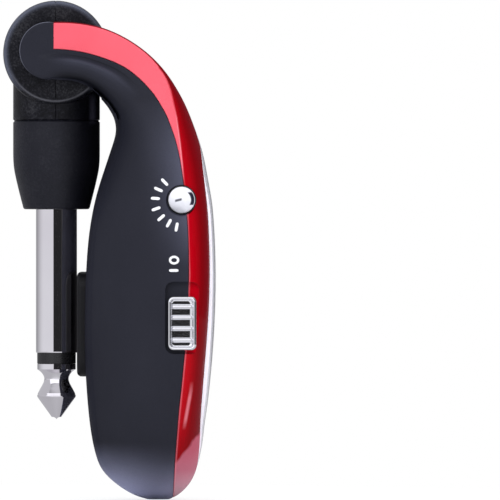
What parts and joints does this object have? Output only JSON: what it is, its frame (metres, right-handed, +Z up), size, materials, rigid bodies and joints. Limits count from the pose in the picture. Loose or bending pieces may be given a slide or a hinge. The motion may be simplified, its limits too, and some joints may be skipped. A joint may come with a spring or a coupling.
{
  "type": "wireless guitar transmitter",
  "caption": "Pocket wireless transmitter with a curved two-part housing, a fork that holds a folding quarter-inch plug, a push button, a slide switch and a charging port.",
  "frame": {"origin": "middle of the bounding box with the plug folded; the fold pin's axis is 30.42 mm above it and 8.26 mm to the -X side, and the two fork arms are symmetrical about Y = 0", "axes": "+Z up along the folded plug towards the hub, +X towards the front cover plate, -Y towards the side with the channel button and the slide switch"},
  "size_m": [0.0328, 0.0364, 0.077],
  "materials": {
    "red_gloss": "deep metallic red lacquer",
    "black_soft": "soft-touch black",
    "plate_gloss": "glossy pale silver white",
    "lens": "clear light window",
    "chrome": "bright chrome plate",
    "nickel": "polished nickel",
    "hub_black": "fine sparked texture",
    "rubber_pad": "moulded rubber",
    "insulator_black": "black insulator",
    "steel": "stamped steel",
    "pcb_green": "solder mask",
    "chip_black": "moulded epoxy",
    "battery_foil": "laminated foil pouch",
    "foam_tape": "black foam tape",
    "wire_red": "wire insulation",
    "wire_black": "wire insulation",
    "ceramic": "ceramic",
    "brass": "tinned brass",
    "white_plastic": "moulded white plastic"
  },
  "bodies": {
    "housing": {"front_shell": "red_gloss", "rear_shell": "black_soft", "front_plate": "plate_gloss", "status_lens": "lens", "rear_pad": "rubber_pad", "tact_switch": "steel", "switch_well": "black_soft", "switch_can": "steel", "usb_shell": "steel", "usb_tongue": "insulator_black", "main_pcb": "pcb_green", "pcb_screws": "steel", "rf_shield": "steel", "controller_chip": "chip_black", "antenna": "ceramic", "status_led": "white_plastic", "battery": "battery_foil", "battery_tape": "foam_tape", "battery_leads": "wire_red", "signal_wires": "wire_black"},
    "plug_arm": {"hub_half_front": "hub_black", "hub_half_rear": "hub_black", "plug_boot": "hub_black", "plug_sleeve": "nickel", "plug_insulator": "insulator_black", "plug_tip": "nickel", "sleeve_lug": "brass", "tip_lug": "brass", "plug_wires": "wire_red", "pivot_tubes": "steel", "friction_washers": "steel"},
    "channel_button": {"channel_button": "chrome", "tact_plunger": "white_plastic"},
    "power_slider": {"power_slider": "chrome", "switch_lever": "insulator_black"}
  },
  "joints": [
    {"name": "plug_fold", "type": "hinge", "parent": "housing", "child": "plug_arm", "pos_m": [-0.00826, 0, 0.03042], "axis": [0, 1, 0], "range_deg": [0, 220]},
    {"name": "channel_press", "type": "slide", "parent": "housing", "child": "channel_button", "axis": [0, 1, 0], "range_m": [0, 0.0003]},
    {"name": "power_slide", "type": "slide", "parent": "housing", "child": "power_slider", "axis": [0, 0, 1], "range_m": [0, 0.0017]}
  ]
}
